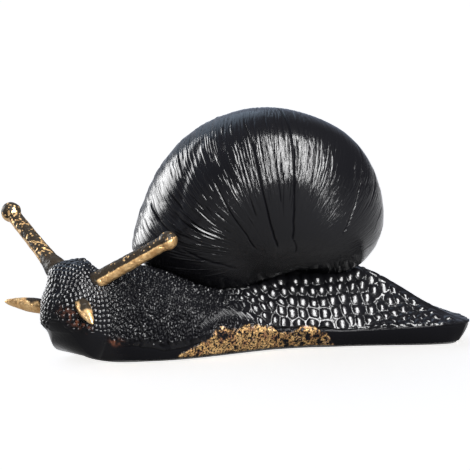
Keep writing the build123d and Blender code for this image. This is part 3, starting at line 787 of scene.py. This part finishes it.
# slow unevenness along the growth lines
k_l, k_t = 150, 9
table = rs.uniform(-1, 1, (k_t, k_l))
li, ti = L / (2 * math.pi) * k_l, T / math.pi * (k_t - 1)
l_0, t_0 = np.floor(li).astype(int), np.clip(np.floor(ti).astype(int), 0, k_t - 2)
lf, tf = li - l_0, ti - t_0
lf, tf = lf * lf * (3 - 2 * lf), tf * tf * (3 - 2 * tf)
slow = ((table[t_0, l_0 % k_l] * (1 - lf) + table[t_0, (l_0 + 1) % k_l] * lf) * (1 - tf)
        + (table[t_0 + 1, l_0 % k_l] * (1 - lf) + table[t_0 + 1, (l_0 + 1) % k_l] * lf) * tf)
calm = 1 - 0.7 * smooth(4.95, 5.3, L) * smooth(6.2, 6.0, L)
rise += 0.04 * calm * slow * smooth(0.35, 0.9, T) * smooth(3.0, 2.6, T)

# deeper growth grooves
line([(90.5, 262.5), (77.5, 264.5), (65.5, 265), (45.5, 265), (27, 265.5), (17.5, 268), (9, 278)], -0.5, 0.36, False)
line([(112, 281), (96, 283.5), (86, 285), (76.5, 286), (63, 287), (50.5, 288), (39.5, 290.5), (29.5, 293.5), (19.5, 301.5),
      (11, 345)], -0.55, 0.36, False)
line([(100, 327), (83.7, 328.6), (63.6, 330.7), (50.5, 335.6), (38.9, 343.5)], -0.38, 0.36, False)
line([(64, 238), (47.5, 235), (37, 232), (26.5, 228.5), (14.5, 214.5)], -0.34, 0.34, False)
line([(55.1, 188.5), (31.7, 172.3), (20, 150)], -0.28, 0.5)
line([(36.9, 164.6), (29.6, 128)], -0.2, 0.5)
line([(76, 275), (60, 276.2), (38, 279)], -0.26, 0.32, False)
line([(70, 256.5), (50, 255), (32, 252)], -0.26, 0.34, False)
for _ in range(9):
    l0 = rs.uniform(-20, 140)
    line([(60 + rs.uniform(-10, 20), l0), (100, l0 + rs.uniform(-3, 3)), (150, l0 + rs.uniform(-5, 5))], -0.3, 0.5)
# thin raised lines on the rear side and by the mouth
line([(84, 322.5), (72, 324.0), (62, 326.5)], 0.22, 0.3)
line([(78.5, 307), (69, 309.5), (59, 311)], 0.2, 0.26)
line([(76, 302), (67, 304.5), (58, 306)], 0.18, 0.24)
line([(79, 353.5), (65.5, 355.5), (59.5, 361), (56, 367.5)], 0.2, 0.3)
line([(74, 158), (66, 151), (59, 146), (52, 141)], 0.34, 0.55)
line([(70, 165), (62, 158), (52, 152)], 0.2, 0.4)
line([(66, 171), (56, 165), (47, 160)], 0.16, 0.35)

# deeper grooves are marked for less gloss in the shell's material: painted shade in the grooves
crease = smooth(0.05, 0.30, -rise)

# shallow spiral fold across the growth lines at the left
FOLD = np.radians([(92, 246), (83.7, 235.3), (79.1, 231.9), (71.3, 221.7), (65.4, 212.4), (59.8, 201.3), (55, 190)])
ft = np.interp(np.linspace(0, 1, 60), np.linspace(0, 1, len(FOLD)), FOLD[:, 0])
fl = np.interp(np.linspace(0, 1, 60), np.linspace(0, 1, len(FOLD)), FOLD[:, 1])
fd = shell_dir(ft, fl)
fp = SHELL_MID + fd * shell_radius(fd)[:, None]
box = (L > math.radians(180)) & (L < math.radians(262)) & (T > math.radians(45)) & (T < math.radians(102))
bp = shell[box]
dd = np.full(len(bp), 1e9)
sgn = np.zeros(len(bp))
fade = np.zeros(len(bp))
for i in range(len(fp) - 1):
    a, b = fp[i], fp[i + 1]
    ab = b - a
    t = np.clip(((bp - a) @ ab) / (ab @ ab), 0, 1)
    c = a + t[:, None] * ab
    d = np.linalg.norm(bp - c, axis=1)
    side = np.sign(np.cross(ab, bp - c) @ fd[i])
    better = d < dd
    dd = np.where(better, d, dd)
    sgn = np.where(better, side, sgn)
    fade = np.where(better, (i + t) / (len(fp) - 1), fade)
fade = smooth(0, 0.2, fade) * smooth(1, 0.85, fade)
rise[box] += fade * -0.42 * np.exp(-(dd / 2.0) ** 2)

shell_pts = shell + out_s * rise[..., None]
poles = np.stack([SHELL_MID + NEAR_POLE * shell_radius(NEAR_POLE[None])[0],
                  SHELL_MID - AXIS * shell_radius(-AXIS[None])[0]])
pts = np.concatenate([shell_pts.reshape(-1, 3), poles])
idx = np.arange(NT * NL).reshape(NT, NL)
q = quads(NT, NL, True)
r0 = np.concatenate([idx[0], idx[0][:1]])
r1 = np.concatenate([idx[-1], idx[-1][:1]])
cap0 = np.stack([np.full(NL, NT * NL), r0[:-1], r0[1:]], -1)
cap1 = np.stack([r1[1:], r1[:-1], np.full(NL, NT * NL + 1)], -1)
turns = 52.0
grow = np.stack([np.cos(L) * turns, np.sin(L) * turns, T * 5.5], -1).reshape(-1, 3)
grow = np.concatenate([grow, [[0, 0, 0], [0, 0, math.pi * 5.5]]])
shell_ob = mesh_object("shell_skin", pts, [q, cap0, cap1],
                       [("grow", grow), ("crease", np.concatenate([crease.ravel(), [0, 0]]))], SHELL)
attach(shell_ob, "root")
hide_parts("shell_casting")

# normals of both grids face outwards
for ob in (body_ob, shell_ob):
    me = ob.data
    c = np.zeros(len(me.vertices) * 3, np.float32)
    me.vertices.foreach_get("co", c)
    c = c.reshape(-1, 3)
    pn = np.zeros(len(me.polygons) * 3, np.float32)
    me.polygons.foreach_get("normal", pn)
    pc = np.zeros(len(me.polygons) * 3, np.float32)
    me.polygons.foreach_get("center", pc)
    middle = c.mean(0)
    if ((pc.reshape(-1, 3) - middle) * pn.reshape(-1, 3)).sum() < 0:
        me.flip_normals()

# ---- stalks and feelers -------------------------------------------------------------------
# eye stalks: radius of the ball, of the shaft and of the foot on the head
STALK_LEFT = (3.6, 3.0, 3.5)
STALK_RIGHT = (4.1, 3.0, 4.4)
FEELER_LEFT_R, FEELER_RIGHT_R = 2.8, 3.0
EYE_LEFT = ((-53.0, -32.8, 31.2), (-25.4, -36.5, 47.2))
EYE_RIGHT = ((-70.9, -15.0, 34.0), (-90.3, 7.0, 52.5))
FEEL_LEFT = ((-59.3, -37.6, 24.4), (-53.2, -50.0, 17.6))
FEEL_RIGHT = ((-73.5, -18.5, 18.3), (-91.1, -14.0, 19.9))


def stem(name, node_name, root, end, profile, seed, blacken, bend=0.0, around=112):
    """Round stem along root to end; profile is (distance from the root, radius)."""
    a, b = np.array(root), np.array(end)
    k = unit(b - a)
    x = unit(np.cross(k, [0, 0, 1.0]))
    y = np.cross(x, k)                        # x level, y upwards
    prof = np.array(profile)
    seg = np.concatenate([[0], np.cumsum(np.linalg.norm(np.diff(prof, axis=0), axis=1))])
    count = int(seg[-1] / 0.17)
    t = np.linspace(0, seg[-1], count)
    z, r = np.interp(t, seg, prof[:, 0]), np.interp(t, seg, prof[:, 1])
    phi = np.arange(around) * 2 * math.pi / around
    ring = np.cos(phi)[None, :, None] * x + np.sin(phi)[None, :, None] * y
    p = a + z[:, None, None] * k + ring * r[:, None, None] + bend * y * (np.sin(math.pi * z / z.max()) ** 2)[:, None, None]
    nrm = normals(p, True)
    if (nrm[count // 2, 0] * ring[0, 0]).sum() < 0:
        nrm = -nrm
    pit = 0.08 * noise(p, 1.6, seed) + 0.05 * noise(p, 0.7, seed + 1)
    dent = -0.16 * smooth(0.4, 0.8, noise(p, 1.0, seed + 2))
    p = p + nrm * (pit + dent)[..., None] * np.clip(r / 2.0, 0.25, 1)[:, None, None]
    # mask is low at the dark roots and on the upper sides, where it is painted shade
    mask = blacken(z[:, None] + 0 * phi[None, :], np.sin(phi)[None, :] + 0 * z[:, None], p)
    i = np.arange(count * around).reshape(count, around)
    tip = a + (z[-1] + 0.02) * k
    root_mid = a + z[0] * k
    pts = np.concatenate([p.reshape(-1, 3), tip[None], root_mid[None]])
    last = np.concatenate([i[-1], i[-1][:1]])
    first = np.concatenate([i[0], i[0][:1]])
    cap = np.stack([last[:-1], last[1:], np.full(around, count * around)], -1)
    foot = np.stack([first[1:], first[:-1], np.full(around, count * around + 1)], -1)
    ob = mesh_object(name, pts, [quads(count, around, True), cap, foot],
                     [("gold", np.concatenate([mask.ravel(), [1, 0]]))], PLATE)
    me = ob.data
    pn = np.zeros(len(me.polygons) * 3, np.float32)
    me.polygons.foreach_get("normal", pn)
    pc = np.zeros(len(me.polygons) * 3, np.float32)
    me.polygons.foreach_get("center", pc)
    mid = (a + b) / 2
    rad = pc.reshape(-1, 3) * 1000 - SHIFT - mid
    rad = rad - (rad @ k)[:, None] * k
    if (rad * pn.reshape(-1, 3)).sum() < 0:
        me.flip_normals()
    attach(ob, "root")
    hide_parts(node_name)
    return ob


def eye_profile(root, end, radii):
    length = float(np.linalg.norm(np.array(end) - np.array(root)))
    ball, shaft, foot_r = radii
    flare = foot_r - shaft
    r_neck = shaft - 0.12
    z_neck = length - math.sqrt(ball ** 2 - r_neck ** 2)
    zs = np.linspace(-2.8, z_neck, 80)
    r = pchip([-3.0, -0.6, 2.4, 6.0, 12.0, 20.0, z_neck + 0.01],
              [shaft + 1.1 * flare, foot_r, shaft + 0.55 * flare, shaft + 0.2 * flare + 0.1, shaft + 0.1, shaft, r_neck], zs)
    a0 = math.asin(-(length - z_neck) / ball)
    arc_ = np.linspace(a0, math.pi / 2, 40)
    bz, br = length + ball * np.sin(arc_), ball * np.cos(arc_)
    prof = np.concatenate([np.stack([zs, r], 1), np.stack([bz, np.maximum(br, 0.02)], 1)[1:]])
    # soften the crook between shaft and ball
    soft_r = prof[:, 1].copy()
    for _ in range(5):
        near_neck = np.abs(prof[:, 0] - z_neck) < 2.0
        avg = soft_r.copy()
        avg[1:-1] = (soft_r[:-2] + soft_r[1:-1] + soft_r[2:]) / 3
        soft_r = np.where(near_neck, avg, soft_r)
    prof[:, 1] = soft_r
    return prof


def eye_gilt_and_shade(start, full, near):
    """Where a stalk shows gold: dark at the root, and dark along its upper side, which is painted shade."""
    def f(z, up_, p):
        coarse, fine = noise(p, 1.7, 61), noise(p, 0.75, 62)
        g = smooth(start, full, z + 1.2 * coarse)
        if near:
            # the near stalk is dark over its upper side, more of it on the ball: painted shade
            on_ball = smooth(z.max() - 7.5, z.max() - 5.5, z)
            limit = 0.02 - 0.08 * on_ball + 0.05 * coarse
            unshaded = 1 - smooth(limit - 0.12, limit + 0.12, up_)
            speck = 0.5 * smooth(0.6, 0.75, fine)
        else:
            # the far stalk shows gold on the side away from the neck and in flecks; the dark on its upper side is
            # painted shade
            limit = -0.25 + 0.35 * coarse
            unshaded = 1 - smooth(limit - 0.25, limit + 0.25, up_)
            speck = smooth(0.28, 0.5, fine + 0.25 * coarse)
        return np.clip(g * np.maximum(unshaded, speck), 0, 1)
    return f


stem("eye_stalk_left_skin", "eye_stalk_left", *EYE_LEFT, eye_profile(*EYE_LEFT, STALK_LEFT), 101, eye_gilt_and_shade(0.5, 3.0, True))
stem("eye_stalk_right_skin", "eye_stalk_right", *EYE_RIGHT, eye_profile(*EYE_RIGHT, STALK_RIGHT), 131, eye_gilt_and_shade(3.0, 9.0, False))


def feel_profile(root, end, r0):
    length = float(np.linalg.norm(np.array(end) - np.array(root)))
    k = length / 14.8
    zs = np.linspace(-2.2, 14.6 * k, 90)
    r = pchip([-2.5, 0.0, 3.0 * k, 5.5 * k, 9.0 * k, 12.2 * k, 14.0 * k, 14.6 * k],
              [0.86 * r0, 0.93 * r0, 0.99 * r0, 0.97 * r0, 0.78 * r0, 0.5 * r0, 0.25 * r0, 0.06 * r0], zs)
    return np.stack([zs, r], 1)


# dark at the root and in random patches, and dark along the upper side towards the root, which is painted shade
def feel_gilt_and_shade(z, up_, p):
    n_ = noise(p, 1.4, 71)
    return smooth(-0.5, 1.5, z + 1.0 * n_) * (1 - 0.35 * smooth(0.35, 0.7, noise(p, 1.0, 72))) * (1 - smooth(0.25, 0.75, up_ + 0.3 * n_) * smooth(11, 8, z))


stem("feeler_left_skin", "feeler_left", *FEEL_LEFT, feel_profile(*FEEL_LEFT, FEELER_LEFT_R), 151, feel_gilt_and_shade)
stem("feeler_right_skin", "feeler_right", *FEEL_RIGHT, feel_profile(*FEEL_RIGHT, FEELER_RIGHT_R), 171, feel_gilt_and_shade)

# ---- hidden pieces keep their own shape -----------------------------------------------------
nodes = frame["nodes"]
for names, mat in ((("eye_stalk_pins", "feeler_pins", "shell_dowels"), plain_material("steel", (0.55, 0.55, 0.56), 0.35, 1.0)),
                   (("shell_glue_bed",), plain_material("epoxy", (0.012, 0.012, 0.012), 0.5)),
                   (("felt_base",), plain_material("felt", (0.03, 0.03, 0.03), 0.95, grain=2600))):
    for name in names:
        nodes[name].data.materials.clear()
        nodes[name].data.materials.append(mat)

# ---- floor and light ------------------------------------------------------------------------
floor_mat, nt, b = material("floor")
b.inputs["Base Color"].default_value = (0.9, 0.9, 0.9, 1)
b.inputs["Roughness"].default_value = 1.0
b.inputs["Specular IOR Level"].default_value = 0.0
b.inputs["Emission Color"].default_value = (1, 0.99, 0.97, 1)
b.inputs["Emission Strength"].default_value = 0.84
me = bpy.data.meshes.new("floor")
rim = [(60 * math.cos(a), 60 * math.sin(a), 0) for a in np.linspace(0, 2 * math.pi, 97)[:-1]]
me.from_pydata(rim, [], [list(range(96))])
me.materials.append(floor_mat)
floor = bpy.data.objects.new("floor", me)
scene.collection.objects.link(floor)

world = bpy.data.worlds.new("studio")
scene.world = world
world.use_nodes = True
wt = world.node_tree
bg = wt.nodes["Background"]
co = node(wt, "ShaderNodeTexCoord").outputs["Generated"]
dot = node(wt, "ShaderNodeVectorMath", _operation="DOT_PRODUCT")
wt.links.new(co, dot.inputs[0])
dot.inputs[1].default_value = (-0.80, 0.60, 0.0)
sky = ramp(wt, dot.outputs["Value"], [(0.0, (0.07, 0.07, 0.08)), (0.12, (0.14, 0.145, 0.16)), (0.55, (0.42, 0.49, 0.64)),
                                      (1.0, (0.62, 0.66, 0.74))])
wt.links.new(sky, bg.inputs["Color"])
bg.inputs["Strength"].default_value = 1.0

lit = bpy.data.collections.new("ornament")
for o in list(scene.collection.objects):
    if o.type == "MESH" and o is not floor:
        lit.objects.link(o)


def softbox(name, az, el, dist, width, tall, radiance, colour=(1, 1, 1), roll=0.0):
    """Soft light at that bearing from the object; az 0 is the viewer's side, 90 the tail's."""
    a, e = math.radians(az), math.radians(el)
    mid = Vector((0.0, 0.0, 0.045))
    way = Vector((math.sin(a) * math.cos(e), -math.cos(a) * math.cos(e), math.sin(e)))
    light = bpy.data.lights.new(name, "AREA")
    light.shape = "RECTANGLE"
    light.size, light.size_y = width, tall
    light.energy = radiance * math.pi * width * tall
    light.color = colour
    o = bpy.data.objects.new(name, light)
    scene.collection.objects.link(o)
    o.location = mid + way * dist
    o.rotation_euler = ((-way).to_track_quat("-Z", "Y") @ Quaternion((0, 0, 1), math.radians(roll))).to_euler()
    o.visible_camera = False
    o.light_linking.receiver_collection = lit
    return o


softbox("box_front", 29.5, 40, 1.6, 0.64, 2.2, 76.0, roll=-14)
softbox("box_left", -119, 14, 1.6, 1.0, 0.9, 19.0)
softbox("box_back", -150, 45, 1.7, 1.5, 0.9, 1.3, (0.62, 0.8, 1.0))
